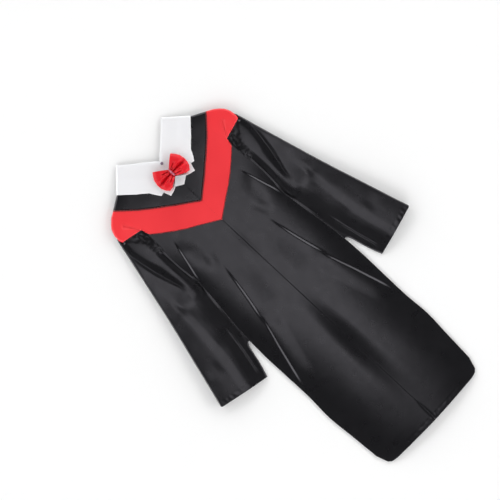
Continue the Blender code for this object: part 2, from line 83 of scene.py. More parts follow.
# Outlines of the wearer's left half, as points (across, drop)
SHOULDER_LINE = (
    COLLAR_CORNER, (0.1045, 0.0399), (0.1292, 0.0542), (0.1425, 0.0618), (0.1520, 0.0703),
    (0.1577, 0.0770), (0.1625, 0.0893), (0.1634, 0.1026), (0.1615, 0.1093),
)
RED_INNER_EDGE = (
    (0.0, 0.1634), (0.0380, 0.1349), (0.0760, 0.1045), (0.0950, 0.0884), (0.1292, 0.0542),
)
RED_OUTER_EDGE = (
    (0.0, 0.2185), (0.0380, 0.1938), (0.0570, 0.1824), (0.0760, 0.1691), (0.0950, 0.1539),
    (0.1140, 0.1378), (0.1178, 0.1197), (0.1330, 0.1159), (0.1615, 0.1093),
)
FRONT_TOP_EDGE = (
    (0.0, 0.2075), (0.0380, 0.1828), (0.0760, 0.1581), (0.0950, 0.1429), (0.1165, 0.1170),
)
HEM_EDGE = ((0.0, LENGTH), (0.1045, 0.7714), (0.1160, 0.7690), (0.1216, 0.7640))
COLLAR_LOWER_EDGE = (
    (0.0, 0.1118), (0.0140, 0.1092), (0.0240, 0.1060), (0.0388, 0.1022), (0.0456, 0.1036),
    (0.0530, 0.0922), (0.0580, 0.0830), (0.0665, 0.0750), (0.0760, 0.0668), (0.1040, 0.0389),
)
TAB_TOP_EDGE = ((0.0, 0.0960), (0.0150, 0.1100))
TAB_LOWER_EDGE = ((0.0, 0.1197), (0.0152, 0.1103))
TAB_CORNER = 0.0152
ARMHOLE = (
    (0.1500, 0.0780), (0.1320, 0.0880), (0.1185, 0.1040), (0.1125, 0.1250), (0.1110, 0.1650),
    (0.1110, 0.2200), (0.1105, 0.2870),
)
SLEEVE_OUTER_EDGE = (
    (0.1500, 0.0780), (0.1580, 0.0860), (0.1645, 0.0980), (0.1680, 0.1083), (0.1774, 0.1463),
    (0.1919, 0.2033), (0.2115, 0.2793), (0.2329, 0.3553), (0.2544, 0.4313), (0.2622, 0.4579),
)
SLEEVE_INNER_EDGE = (
    (0.1105, 0.2870), (0.1130, 0.3200), (0.1190, 0.3520), (0.1250, 0.3800), (0.1296, 0.4060),
    (0.1328, 0.4125), (0.1362, 0.4136), (0.1394, 0.4168), (0.1418, 0.4228), (0.1448, 0.4350),
    (0.1513, 0.4597), (0.1600, 0.4855),
)
CUFF = ((0.2622, 0.4579), (0.2584, 0.4612), (0.1600, 0.4855))

# The bow's outline, as rays from its waist, whose drops are counted from its middle
BOW_DROP = 0.0880
BOW_WAIST = 0.0004  # how far from the centre front the rays start
RIBBON_WAIST, RIBBON_END = 0.0028, 0.0022  # thickness of a red loop there and at its end
PUFF = 0.0062
BowRay = namedtuple("BowRay", "waist_drop outer_across outer_drop")
RED_BOW_RAYS = (
    BowRay(-0.0090, 0.0247, -0.0276),
    BowRay(-0.0064, 0.0300, -0.0210),
    BowRay(-0.0040, 0.0344, -0.0130),
    BowRay(-0.0015, 0.0364, -0.0030),
    BowRay(0.0015, 0.0358, 0.0065),
    BowRay(0.0040, 0.0326, 0.0148),
    BowRay(0.0064, 0.0270, 0.0211),
    BowRay(0.0086, 0.0190, 0.0202),
)
WHITE_BOW_RAYS = (
    BowRay(-0.0100, 0.0290, -0.0300),
    BowRay(-0.0060, 0.0370, -0.0170),
    BowRay(-0.0015, 0.0400, -0.0020),
    BowRay(0.0040, 0.0378, 0.0140),
    BowRay(0.0075, 0.0330, 0.0289),
    BowRay(0.0098, 0.0160, 0.0236),
)

# Pleats of the red bow: place from its first ray to its last, width as a share of them, how far
# out they reach from the waist, and depth
Pleat = namedtuple("Pleat", "place width reach depth")
BOW_PLEATS = (
    Pleat(0.49, 0.170, 1.10, 0.0082),
    Pleat(0.22, 0.090, 0.65, 0.0036),
    Pleat(0.77, 0.090, 0.65, 0.0036),
    Pleat(0.36, 0.050, 0.80, 0.0009),
    Pleat(0.63, 0.050, 0.80, 0.0009),
)

# The body from the yoke to the hem: the height of its side edge, its height in the middle, and how
# far in from the side the one climbs to the other
BodyRow = namedtuple("BodyRow", "drop half_width edge_height crown reach")
BODY = (
    BodyRow(0.1170, 0.1165, 0.0092, 0.0102, 0.050),
    BodyRow(0.1650, 0.1178, 0.0086, 0.0106, 0.050),
    BodyRow(0.2030, 0.1207, 0.0083, 0.0108, 0.050),
    BodyRow(0.2410, 0.1192, 0.0080, 0.0109, 0.050),
    BodyRow(0.2600, 0.1174, 0.0078, 0.0110, 0.050),
    BodyRow(0.3080, 0.1216, 0.0071, 0.0111, 0.050),
    BodyRow(0.3650, 0.1292, 0.0061, 0.0114, 0.054),
    BodyRow(0.4130, 0.1332, 0.0050, 0.0122, 0.066),
    BodyRow(0.4400, 0.1342, 0.0034, 0.0128, 0.078),
    BodyRow(0.4700, 0.1349, 0.0027, 0.0134, 0.094),
    BodyRow(0.5650, 0.1341, 0.0025, 0.0146, 0.118),
    BodyRow(0.6250, 0.1368, 0.0025, 0.0148, 0.120),
    BodyRow(0.6820, 0.1330, 0.0025, 0.0142, 0.120),
    BodyRow(0.7410, 0.1292, 0.0025, 0.0132, 0.120),
    BodyRow(0.7640, 0.1216, 0.0025, 0.0126, 0.120),
    BodyRow(0.7740, 0.1180, 0.0025, 0.0124, 0.120),
)
# Cross-sections of a sleeve's upper layer, each a row of places with their heights
SleeveRow = namedtuple("SleeveRow", "drop places heights")
SLEEVE = (
    SleeveRow(0.080,
              (0.1140, 0.1197, 0.1292, 0.1406, 0.1501, 0.1520, 0.1539, 0.1558, 0.1577, 0.1596),
              (0.0060, 0.0062, 0.0068, 0.0072, 0.0070, 0.0069, 0.0068, 0.0067, 0.0066, 0.0064)),
    SleeveRow(0.108,
              (0.1140, 0.1216, 0.1330, 0.1539, 0.1634, 0.1649, 0.1659, 0.1668, 0.1676, 0.1683),
              (0.0062, 0.0068, 0.0080, 0.0089, 0.0078, 0.0079, 0.0079, 0.0078, 0.0078, 0.0077)),
    SleeveRow(0.137,
              (0.1159, 0.1235, 0.1368, 0.1587, 0.1691, 0.1714, 0.1725, 0.1733, 0.1742, 0.1754),
              (0.0066, 0.0072, 0.0088, 0.0098, 0.0078, 0.0082, 0.0082, 0.0081, 0.0081, 0.0080)),
    SleeveRow(0.165,
              (0.1168, 0.1235, 0.1368, 0.1530, 0.1653, 0.1701, 0.1744, 0.1771, 0.1794, 0.1826),
              (0.0064, 0.0066, 0.0093, 0.0098, 0.0073, 0.0089, 0.0094, 0.0095, 0.0094, 0.0092)),
    SleeveRow(0.194,
              (0.1178, 0.1235, 0.1368, 0.1434, 0.1605, 0.1663, 0.1748, 0.1824, 0.1862, 0.1898),
              (0.0054, 0.0054, 0.0090, 0.0093, 0.0067, 0.0088, 0.0093, 0.0096, 0.0097, 0.0096)),
    SleeveRow(0.222,
              (0.1178, 0.1235, 0.1358, 0.1406, 0.1530, 0.1587, 0.1729, 0.1862, 0.1928, 0.1970),
              (0.0050, 0.0050, 0.0088, 0.0090, 0.0069, 0.0088, 0.0095, 0.0101, 0.0102, 0.0100)),
    SleeveRow(0.249,
              (0.1159, 0.1216, 0.1330, 0.1387, 0.1463, 0.1510, 0.1710, 0.1862, 0.1976, 0.2044),
              (0.0044, 0.0046, 0.0084, 0.0090, 0.0082, 0.0092, 0.0099, 0.0106, 0.0106, 0.0102)),
    SleeveRow(0.262,
              (0.1159, 0.1206, 0.1292, 0.1368, 0.1482, 0.1596, 0.1729, 0.1872, 0.1995, 0.2090),
              (0.0038, 0.0048, 0.0076, 0.0090, 0.0101, 0.0102, 0.0101, 0.0112, 0.0110, 0.0107)),
    SleeveRow(0.277,
              (0.1159, 0.1197, 0.1273, 0.1368, 0.1463, 0.1596, 0.1719, 0.1862, 0.2014, 0.2128),
              (0.0032, 0.0037, 0.0068, 0.0090, 0.0098, 0.0096, 0.0096, 0.0117, 0.0116, 0.0111)),
    SleeveRow(0.293,
              (0.1178, 0.1235, 0.1321, 0.1406, 0.1510, 0.1625, 0.1748, 0.1881, 0.2052, 0.2166),
              (0.0022, 0.0026, 0.0042, 0.0061, 0.0080, 0.0098, 0.0121, 0.0134, 0.0129, 0.0123)),
    SleeveRow(0.317,
              (0.1197, 0.1273, 0.1368, 0.1463, 0.1558, 0.1653, 0.1767, 0.1900, 0.2071, 0.2233),
              (0.0024, 0.0026, 0.0046, 0.0069, 0.0091, 0.0110, 0.0127, 0.0137, 0.0132, 0.0125)),
    SleeveRow(0.344,
              (0.1235, 0.1311, 0.1387, 0.1482, 0.1577, 0.1672, 0.1786, 0.1938, 0.2109, 0.2289),
              (0.0024, 0.0038, 0.0059, 0.0083, 0.0105, 0.0123, 0.0140, 0.0148, 0.0142, 0.0135)),
    SleeveRow(0.370,
              (0.1254, 0.1330, 0.1406, 0.1501, 0.1596, 0.1701, 0.1805, 0.1966, 0.2128, 0.2352),
              (0.0024, 0.0036, 0.0054, 0.0077, 0.0101, 0.0126, 0.0146, 0.0156, 0.0152, 0.0143)),
    SleeveRow(0.393,
              (0.1273, 0.1349, 0.1425, 0.1501, 0.1596, 0.1710, 0.1824, 0.1995, 0.2166, 0.2409),
              (0.0024, 0.0034, 0.0054, 0.0075, 0.0101, 0.0129, 0.0148, 0.0159, 0.0156, 0.0148)),
    SleeveRow(0.431,
              (0.1416, 0.1482, 0.1558, 0.1634, 0.1719, 0.1805, 0.1900, 0.2071, 0.2242, 0.2508),
              (0.0024, 0.0038, 0.0059, 0.0081, 0.0106, 0.0129, 0.0146, 0.0158, 0.0159, 0.0152)),
    SleeveRow(0.469,
              (0.1520, 0.1577, 0.1653, 0.1729, 0.1805, 0.1890, 0.1995, 0.2147, 0.2318, 0.2603),
              (0.0024, 0.0036, 0.0057, 0.0078, 0.0099, 0.0121, 0.0140, 0.0151, 0.0153, 0.0147)),
    SleeveRow(0.498,
              (0.1596, 0.1653, 0.1729, 0.1805, 0.1881, 0.1966, 0.2071, 0.2223, 0.2394, 0.2679),
              (0.0024, 0.0036, 0.0057, 0.0078, 0.0099, 0.0121, 0.0140, 0.0151, 0.0153, 0.0147)),
)
VALLEYS = (1, 4)  # the places of a row at which the surface folds sharply

# Folds: a line on the cloth, its height (a hollow is negative), its width on the side towards the
# centre front and on the other side, how sharp its crest is on each side from 0 to 1, how wide its
# two ends are for their width, and over what shares of its length it fades in and out
Fold = namedtuple("Fold", "name line height inner_width outer_width inner_sharp outer_sharp sizes fades")
BODY_FOLDS = (
    Fold("bust", ((0.0899, 0.1729), (0.094, 0.19), (0.0988, 0.209), (0.1045, 0.2318),
                  (0.1102, 0.2527), (0.1159, 0.2793)),
         0.0024, 0.05, 0.0043, 0, 0.9, (0.7, 1), (0.4, 0.4)),
    Fold("hip", ((0.0599, 0.2755), (0.0646, 0.3059), (0.0703, 0.3382), (0.077, 0.3705),
                 (0.0846, 0.4009), (0.0883, 0.4161)),
         0.003, 0.062, 0.0056, 0, 0.9, (0.8, 1), (0.5, 0.3)),
    Fold("long crease", ((0.0798, 0.3933), (0.0864, 0.4161), (0.094, 0.4408), (0.1017, 0.4655),
                         (0.1092, 0.4921), (0.1168, 0.5187), (0.1263, 0.5529)),
         0.0019, 0.036, 0.0048, 0, 0.9, (0.9, 1), (0.2, 0.25)),
    Fold("centre crease", ((0, 0.2109), (0, 0.2508), (0, 0.2983), (0, 0.3743)),
         -0.00045, 0.01, 0.01, 0.4, 0.4, (1, 1), (0.15, 0.6)),
    Fold("skirt hollow", ((0, 0.3971), (0, 0.4883), (0, 0.5643), (0, 0.79)),
         -0.0042, 0.06, 0.06, 0.85, 0.85, (0.3, 0.8), (0.42, 0.6)),
    Fold("hem notch", ((0, 0.7163), (0, 0.7448), (0, 0.7847)),
         -0.0009, 0.0075, 0.0075, 0.9, 0.9, (0.5, 1), (0.5, 0.01)),
    Fold("waist dent", ((0.0589, 0.2337), (0.0703, 0.2565), (0.076, 0.2831)),
         -0.0005, 0.014, 0.014, 0, 0, (1, 1), (0.45, 0.45)),
)
SLEEVE_FOLDS = (
    Fold("head fold", ((0.1653, 0.1083), (0.1501, 0.1254), (0.1349, 0.1444), (0.114, 0.1672)),
         0.0008, 0.01, 0.03, 0, 0, (1, 1), (0.12, 0.12)),
    Fold("gather bed", ((0.1254, 0.1159), (0.1216, 0.1349), (0.1178, 0.152)),
         -0.0016, 0.014, 0.012, 0, 0, (1, 1), (0.2, 0.3)),
    Fold("cuff dimple", ((0.2135, 0.3800), (0.2160, 0.4020), (0.2190, 0.4240)),
         -0.00050, 0.014, 0.024, 0, 0, (1, 1), (0.45, 0.45)),
    Fold("sleeve seam", ((0.1434, 0.3591), (0.1482, 0.3857), (0.1539, 0.4142), (0.1596, 0.4389),
                         (0.1672, 0.4712)),
         0.00055, 0.0024, 0.0024, 0, 0, (1, 1), (0.2, 0.1)),
)

# Gathers of a sleeve's head, counted along the armhole
GATHER_PITCH = 0.009
GATHER_HEIGHT = 0.0008
GATHER_START, GATHER_PLEATS = 0.0495, 7
GATHERS_FADE_IN, GATHERS_FADE_OUT = (0.005, 0.005), (0.014, 0.014)  # from, and over how far
HEAD_LINE = (0.1140, 0.1660, 1.15)  # a place on the lower end of the gathered corner, and its slope
HEAD_PUCKERS, HEAD_PUCKER_SIZE = 0.0004, 0.0095

# The yoke lies low at the neck and along the shoulder, and higher towards the arms
YOKE_AT_NECK, YOKE_CLIMB, YOKE_CLIMB_REACH = 0.0056, 0.0040, 0.100
SHOULDER_EDGE, ARM_EDGE, ARM_EDGE_FROM, ARM_EDGE_OVER = 0.0013, 0.0052, 0.072, 0.026
SHOULDER_ROLL, SHOULDER_SLOPE = 0.004, 0.050

# The cap at the end of a red band, with the crease across it
CAP_MIDDLE, CAP_RADIUS, CAP_HEIGHT = (0.1450, 0.0930), 0.034, 0.0036
CAP_CREASE = ((0.1216, 0.1178), (0.1300, 0.1020), (0.1370, 0.0912))
CREASE_REACH, CREASE_HEIGHT = 0.0065, 0.0004
GROOVE_REACH, GROOVE_DEPTH, GROOVE_FADE = 0.0028, 0.0012, (0.014, 0.022)
CAP_EDGE_ACROSS, CAP_EDGE_WIDTH, CAP_EDGE_DROPS = 0.1178, 0.0437, (0.1197, 0.1093)

# Patterns of the cloths, in metres. Real satin thread is about 0.1 mm apart and poplin thread 0.2
# mm, too fine to show, so both are drawn coarser
SATIN_THREAD, SATIN_FLOAT = 0.00025, 0.0012
POPLIN_THREAD, POPLIN_FLOAT = 0.00030, 0.00035
CRUMPLES_PER_METRE = 60.0
SHADES_PER_METRE = 9.0
GRAINS_PER_METRE = 900.0

# Studio
WALL_LIGHT, CEILING_LIGHT = 2.8, 0.06
CEILING_FROM, CEILING_FULL = 33, 40  # degrees above the horizon
CAMERA_PLACE = (-0.0061, 0.0904, 2.253)
CAMERA_TURN = -47.0


# Plain sums on arrays
def smooth(t):
    t = np.clip(t, 0.0, 1.0)
    return t * t * (3 - 2 * t)


def rise(t):
    """From 0 to 1, steep at first, as cloth rounds up from an edge."""
    return 1 - (1 - np.clip(t, 0.0, 1.0)) ** 2.3


def bump(t):
    """A soft hump, 1 in the middle and 0 from one width out."""
    t = np.minimum(np.abs(t), 1.0)
    return (1 - t * t) ** 2


def crest(t):
    """A sharp ridge as high and as wide, rounded over the middle twentieth of its width."""
    t = np.minimum(np.sqrt(t * t + 0.0025), 1.0)
    return (1 - t) ** 2 / 0.9


def blend(a, b, t):
    return a + (b - a) * t


def quarter_round(distance, radius):
    """From 0 at an edge to 1 one radius in, along a quarter of a circle."""
    return np.sqrt(1 - (1 - np.clip(distance / radius, 0.0, 1.0)) ** 2)


def rounded(distance, radius, depth):
    """How far cloth turns down within one radius of its edge."""
    return depth * (1 - quarter_round(distance, radius))


def column(rows, name, drop):
    return np.interp(drop, [row.drop for row in rows], [getattr(row, name) for row in rows])


def soft_column(rows, name, drop):
    """The same without kinks: the mean over a short way up and down."""
    return sum(column(rows, name, drop + step) for step in np.linspace(-0.03, 0.03, 7)) / 7


def ripple(across, drop, size, seed):
    """Slow unevenness from -1 to 1, with waves of about that size."""
    chance = np.random.default_rng(seed)
    total = 0.0
    for turn, phase, stretch in zip(chance.uniform(0, math.pi, 7), chance.uniform(0, 6.28, 7),
                                    chance.uniform(0.7, 1.6, 7)):
        run = across * math.cos(turn) + drop * math.sin(turn)
        total = total + np.sin(run * 2 * math.pi / (size * stretch) + phase)
    return total / 4


# Lines of points (across, drop)
def drop_at(line, across):
    return np.interp(across, [p[0] for p in line], [p[1] for p in line])


def nearest(line, across, drop):
    """Distance, length along the line and side of its nearest point, for arrays of places."""
    best = np.full(np.shape(across), 9.0)
    along, side = np.zeros_like(best), np.ones_like(best)
    walked = 0.0
    for a, b in zip(line, line[1:]):
        run = (b[0] - a[0], b[1] - a[1])
        step = math.hypot(*run)
        t = ((across - a[0]) * run[0] + (drop - a[1]) * run[1]) / (step * step)
        t = np.clip(t, 0.0, 1.0)
        off_x, off_y = across - a[0] - t * run[0], drop - a[1] - t * run[1]
        distance = np.hypot(off_x, off_y)
        closer = distance < best
        best = np.where(closer, distance, best)
        along = np.where(closer, walked + t * step, along)
        side = np.where(closer, np.where(run[1] * off_x - run[0] * off_y >= 0, 1.0, -1.0), side)
        walked += step
    return best, along, side


def walk(line):
    points = np.array(line, float)
    steps = np.hypot(*np.diff(points, axis=0).T)
    return points, np.concatenate([[0.0], np.cumsum(steps)])


def on_line(line, share):
    points, walked = walk(line)
    at = np.clip(share, 0.0, 1.0) * walked[-1]
    return np.stack([np.interp(at, walked, points[:, k]) for k in (0, 1)], axis=-1)


def curved(line, count=8):
    """A smooth curve through the line's points, for edges and folds that bend gently."""
    points = [line[0], *line, line[-1]]
    found = []
    for a, b, c, d in zip(points, points[1:], points[2:], points[3:]):
        for k in range(count):
            t = k / count
            found.append(tuple(
                0.5 * (2 * b[n] + (c[n] - a[n]) * t + (2 * a[n] - 5 * b[n] + 4 * c[n] - d[n]) * t * t
                       + (3 * b[n] - a[n] - 3 * c[n] + d[n]) * t ** 3)
                for n in (0, 1)))
    return tuple(found + [line[-1]])


def stations(line, spacing):
    """Shares of the line's length at its corners and at about the spacing between them."""
    _, walked = walk(line)
    found = [0.0]
    for a, b in zip(walked, walked[1:]):
        cuts = max(1, round((b - a) / spacing))
        found += [(a + (b - a) * k / cuts) / walked[-1] for k in range(1, cuts + 1)]
    return np.array(found)


def patch(start, end, first, last, p, q):
    """Places inside four edges: p runs along first and last, q from the one to the other."""
    a, b = on_line(first, p)[:, None], on_line(last, p)[:, None]
    c, d = on_line(start, q)[None], on_line(end, q)[None]
    p, q = p[:, None, None], q[None, :, None]
    corners = [np.array(point) for point in (first[0], first[-1], last[0], last[-1])]
    ruled = blend(a, b, q) + blend(c, d, p)
    flat = ruled - blend(blend(corners[0], corners[1], p), blend(corners[2], corners[3], p), q)
    return flat[..., 0], flat[..., 1]


# Heights of the cloth
def fold_height(folds, across, drop):
    total = 0.0
    for fold in folds:
        line = curved(fold.line, 5)
        distance, walked, side = nearest(line, across, drop)
        t = distance / np.where(side > 0, fold.outer_width, fold.inner_width)
        share = walked / walk(line)[1][-1]
        t = t / blend(fold.sizes[0], fold.sizes[1], share)
        ends = smooth(share / fold.fades[0]) * smooth((1 - share) / fold.fades[1])
        sharp = np.where(side > 0, fold.outer_sharp, fold.inner_sharp)
        total = total + fold.height * ends * blend(bump(t), crest(t), sharp)
    return total


def dip_at_stitches(to_hem):
    return HEM_DIP * bump((to_hem - HEM_STITCHING) / HEM_DIP_REACH)


def hem_puckers(to_hem, across, drop, seed):
    """Small waves across the turned-up strip between a hem's stitches and its edge."""
    strip = bump((to_hem - PUCKERS_FROM_EDGE) / PUCKERS_REACH)
    return PUCKER_HEIGHT * (strip * ripple(across, drop * 0.2, PUCKER_LENGTH, seed))


def from_neck(across, drop):
    """Distance from the line of the neck, which runs from the V's point to the collar's corner."""
    run = (COLLAR_CORNER[0] - NECK_POINT[0], COLLAR_CORNER[1] - NECK_POINT[1])
    across, drop = across - NECK_POINT[0], drop - NECK_POINT[1]
    return (run[0] * drop - run[1] * across) / math.hypot(*run)


def yoke_bed(across, drop):
    """Height of what the yoke's bands lie on."""
    neck = from_neck(across, drop)
    crown = YOKE_AT_NECK + YOKE_CLIMB * smooth(neck / YOKE_CLIMB_REACH)
    edge = blend(SHOULDER_EDGE, ARM_EDGE, smooth((drop - ARM_EDGE_FROM) / ARM_EDGE_OVER))
    inside = nearest(SHOULDER_LINE, across, drop)[0]
    roll, slope = rise(inside / SHOULDER_ROLL), rise(inside / SHOULDER_SLOPE)
    return blend(edge, crown, 0.85 * roll + 0.15 * slope)


def body_height(across, drop):
    edge, crown = soft_column(BODY, "edge_height", drop), soft_column(BODY, "crown", drop)
    inside = column(BODY, "half_width", drop) - across
    return blend(edge, crown, rise(inside / soft_column(BODY, "reach", drop)))


def front_height(across, drop):
    """Height of the fronts, which leave the yoke's bed over the first 110 mm below it."""
    below = drop - drop_at(RED_OUTER_EDGE[:6], across)
    folds = fold_height(BODY_FOLDS, across, drop) * smooth((below + 0.005) / 0.060)
    folds = folds * rise((column(BODY, "half_width", drop) - across) / 0.010)
    return blend(yoke_bed(across, drop), body_height(across, drop), smooth(below / 0.110)) + folds


def gathers(across, drop):
    distance, walked, _ = nearest(ARMHOLE, across, drop)
    count = (walked - GATHER_START) / GATHER_PITCH
    starts, ends = (smooth((distance - begin) / reach)
                    for begin, reach in (GATHERS_FADE_IN, GATHERS_FADE_OUT))
    fade = starts * (1 - ends) * ((count >= 0) & (count <= GATHER_PLEATS))
    to_line = (HEAD_LINE[1] - drop) - (across - HEAD_LINE[0]) * HEAD_LINE[2]
    puckers = HEAD_PUCKERS * ripple(across, drop, HEAD_PUCKER_SIZE, 7) * smooth(to_line / 0.006)
    return -GATHER_HEIGHT * np.cos(2 * math.pi * count) * fade + puckers


def loft(rows, across, drop):
    """Height of a surface through rows of places and heights, smooth from place to place, except
    in its two valleys, and from row to row."""
    fine = np.arange(rows[0].drop, rows[-1].drop, 0.001)
    near = fine + np.linspace(-0.006, 0.006, 9)[:, None]
    places, heights = (
        [np.interp(drop, fine, np.interp(near, [row.drop for row in rows], values).mean(axis=0))
         for values in zip(*(getattr(row, name) for row in rows))]
        for name in ("places", "heights"))
    rates = [(d - c) / (b - a) for a, b, c, d in zip(places, places[1:], heights, heights[1:])]
    before, after = [rates[0]], [rates[0]]
    for k, (a, b) in enumerate(zip(rates, rates[1:]), 1):
        even = np.where(a * b > 0, 2 * a * b / np.where(a + b == 0, 1.0, a + b), 0.0)
        before.append(a if k in VALLEYS else even)
        after.append(b if k in VALLEYS else even)
    before.append(rates[-1])
    height = heights[0]
    for k in range(len(rates)):
        width = places[k + 1] - places[k]
        t = np.clip((across - places[k]) / width, 0.0, 1.0)
        there = (heights[k] * (1 + 2 * t) * (1 - t) ** 2 + after[k] * width * t * (1 - t) ** 2
                 + heights[k + 1] * t * t * (3 - 2 * t) - before[k + 1] * width * t * t * (1 - t))
        height = np.where(across >= places[k], there, height)
    return height


def sleeve_height(across, drop):
    """Height of a sleeve's upper layer, which stays below the front and the cap that cover it."""
    to_outer = nearest(SLEEVE_OUTER_EDGE, across, drop)[0]
    to_inner = nearest(SLEEVE_INNER_EDGE, across, drop)[0]
    to_armhole = nearest(ARMHOLE, across, drop)[0]
    height = loft(SLEEVE, across, drop)
    at_armhole = column(BODY, "edge_height", drop) - CLOTH - 2 * LAY_GAP
    height = blend(np.minimum(height, at_armhole), height, smooth(to_armhole / 0.012))
    free = rise(to_outer / 0.010) * rise(to_inner / 0.010) * smooth((to_armhole - 0.003) / 0.007)
    height = height + fold_height(SLEEVE_FOLDS, across, drop) * free + gathers(across, drop)
    height = softer_of(height, np.minimum(under_body(across, drop), under_cap(across, drop)))
    return np.maximum(height, LOWEST_TOP)


def softer_of(a, b, reach=0.0006):
    """The lower of two heights, with a rounded change from one to the other."""
    t = np.clip(0.5 + 0.5 * (b - a) / reach, 0.0, 1.0)
    return blend(b, a, t) - reach * t * (1 - t)


def under_body(across, drop):
    """The height that the front leaves for a sleeve, which opens out beside the front's edge."""
    past = np.maximum(across - column(BODY, "half_width", drop), 0.0)
    room = front_height(across - past, drop) - CLOTH - 0.0009
    room = room + 0.30 * past + 0.5 * np.maximum(past - 0.008, 0.0)
    return np.where((drop > 0.117) & (drop < 0.420), room, ANYTHING)


def under_cap(across, drop):
    """The height that the cap of the red band leaves for a sleeve, which opens out below it."""
    cap_edge = blend(*CAP_EDGE_DROPS, (across - CAP_EDGE_ACROSS) / CAP_EDGE_WIDTH)
    past = drop - cap_edge
    room = yoke_bed(across, np.minimum(drop, drop - past)) - 0.0003
    opening = 0.25 + 0.90 * smooth((across - 0.150) / 0.006)
    return np.where(across > 0.112, room + np.maximum(past - 0.003, 0.0) * opening, ANYTHING)


def cap_lift(across, drop):
    """How far a red band stands off the yoke's bed: its cap is round, with a crease across it."""
    from_middle = np.hypot(across - CAP_MIDDLE[0], drop - CAP_MIDDLE[1])
    round_cap = bump(from_middle / CAP_RADIUS)
    to_crease, walked, _ = nearest(CAP_CREASE, across, drop)
    crease = bump(to_crease / CREASE_REACH)
    fade = 1 - smooth((walked - GROOVE_FADE[0]) / GROOVE_FADE[1])
    groove = bump(to_crease / GROOVE_REACH) * fade
    cap = CAP_HEIGHT * round_cap * (1 - 0.9 * crease)
    return cap + CREASE_HEIGHT * crease - GROOVE_DEPTH * groove


def red_bed(across, drop):
    return yoke_bed(across, drop) + LAY_GAP + cap_lift(across, drop)


def collar_bed(across, drop):
    """Height of what the collar lies on: the back's strips at the neck, then the black band."""
    neck = from_neck(across, drop)
    start, end = WHITE_CLIMB
    climb = (CLOTH + LAY_GAP) * smooth((neck - start) / (end - start))
    roll = 0.0020 * (1 - rise(neck / 0.009))
    return np.maximum(yoke_bed(across, drop) + climb - roll, CLOTH)


def collar_top(across, drop):
    return collar_bed(across, drop) + LAY_GAP + CLOTH


def bow_floor(across, drop):
    """Height of what the bow lies on: the collar, and the tab in the middle."""
    tab_edge = TAB_CORNER - across + 0.3 * np.minimum(drop - 0.0940, 0.0)
    tab = smooth((tab_edge + 0.010) / 0.008) * smooth((drop - 0.085) / 0.009)
    return collar_top(across, drop) + (CLOTH + LAY_GAP) * tab + 0.0002


# Making meshes
def at(across, drop, height, side=1):
    return np.stack([side * across, LENGTH / 2 - drop, height + 0 * across], axis=-1)


def mesh_of(name, points, faces, material):
    mesh = bpy.data.meshes.new(name)
    mesh.from_pydata(points.tolist(), [], faces.tolist())
    mesh.materials.append(material)
    mesh.shade_smooth()
    obj = bpy.data.objects.new(name, mesh)
    bpy.context.scene.collection.objects.link(obj)
    return obj


def shell(name, grid, material, side=1, ring=False, wall=THIN, both=False, edge=CUT_EDGE):
    """Cloth whose upper face goes through a grid of points, closed into a tube if ring is set.

    With both set, the grid is the left half, and the right half is joined on at the centre."""
    rows, columns = grid.shape[:2]
    index = np.arange(rows * columns).reshape(rows, columns)
    if ring:
        index = np.concatenate([index, index[:, :1]], axis=1)
    corners = [index[:-1, :-1], index[1:, :-1], index[1:, 1:], index[:-1, 1:]]
    if side < 0:
        corners = [corners[0], corners[3], corners[2], corners[1]]
    faces = np.stack([corner.ravel() for corner in corners], axis=-1)
    obj = mesh_of(name, grid.reshape(-1, 3), faces, material)
    if both:
        half = obj.modifiers.new("other half", "MIRROR")
        half.merge_threshold = 0.00005
    thick = obj.modifiers.new("wall", "SOLIDIFY")
    thick.thickness = wall
    thick.offset = -1.0
    soft = obj.modifiers.new("soft edges", "BEVEL")
    soft.width = edge
    soft.segments = 2
    soft.angle_limit = math.radians(62)
    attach(obj, "root")
    return obj


def dense(count, power=1.7):
    """Shares from 0 to 1 that crowd at both ends."""
    t = np.linspace(-1, 1, count)
    return 0.5 + 0.5 * np.sign(t) * (1 - (1 - np.abs(t)) ** power)


def stitches(name, line, height, material, side=1, pitch=0.0028, length=0.0020, width=0.00035):
    """A row of machine stitches along a line of places, each a small rounded bar of thread."""
    _, walked = walk(line)
    count = int(walked[-1] / pitch)
    share = (np.arange(count) + 0.5) / count
    middle, ahead = on_line(line, share), on_line(line, np.minimum(share + 0.002, 1.0))
    behind = on_line(line, np.maximum(share - 0.002, 0.0))
    run = (ahead - behind) / np.linalg.norm(ahead - behind, axis=1)[:, None]
    turns = np.linspace(0, 2 * math.pi, 7)[:-1]
    rings = ((-0.5, 0.35), (-0.34, 1.0), (0.34, 1.0), (0.5, 0.35))
    bars = []
    for along, size in rings:
        for turn in turns:
            out = width * 0.5 * size * math.cos(turn)
            lift = width * 0.5 * size * math.sin(turn) + width * 0.15 * (1 - abs(along) * 2)
            places = middle + run * along * length + np.stack([run[:, 1], -run[:, 0]], 1) * out
            top = height(middle[:, 0], middle[:, 1]) + width * 0.10 + lift
            bars.append(at(places[:, 0], places[:, 1], top, side))
    points = np.stack(bars, axis=1)
    wheel = len(turns)
    one = []
    for r in range(len(rings) - 1):
        for k in range(wheel):
            j = (k + 1) % wheel
            one.append((r * wheel + k, r * wheel + j, (r + 1) * wheel + j, (r + 1) * wheel + k))
    one = np.array(one)
    faces = (one[None] + np.arange(count)[:, None, None] * points.shape[1]).reshape(-1, 4)
    obj = mesh_of(name, points.reshape(-1, 3), faces, material)
    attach(obj, "root")


# Materials
def linear(code):
    """An sRGB hex colour as linear red, green, blue and alpha."""
    parts = [int(code[k:k + 2], 16) / 255 for k in (0, 2, 4)]
    return (*(c / 12.92 if c <= 0.04045 else ((c + 0.055) / 1.055) ** 2.4 for c in parts), 1.0)


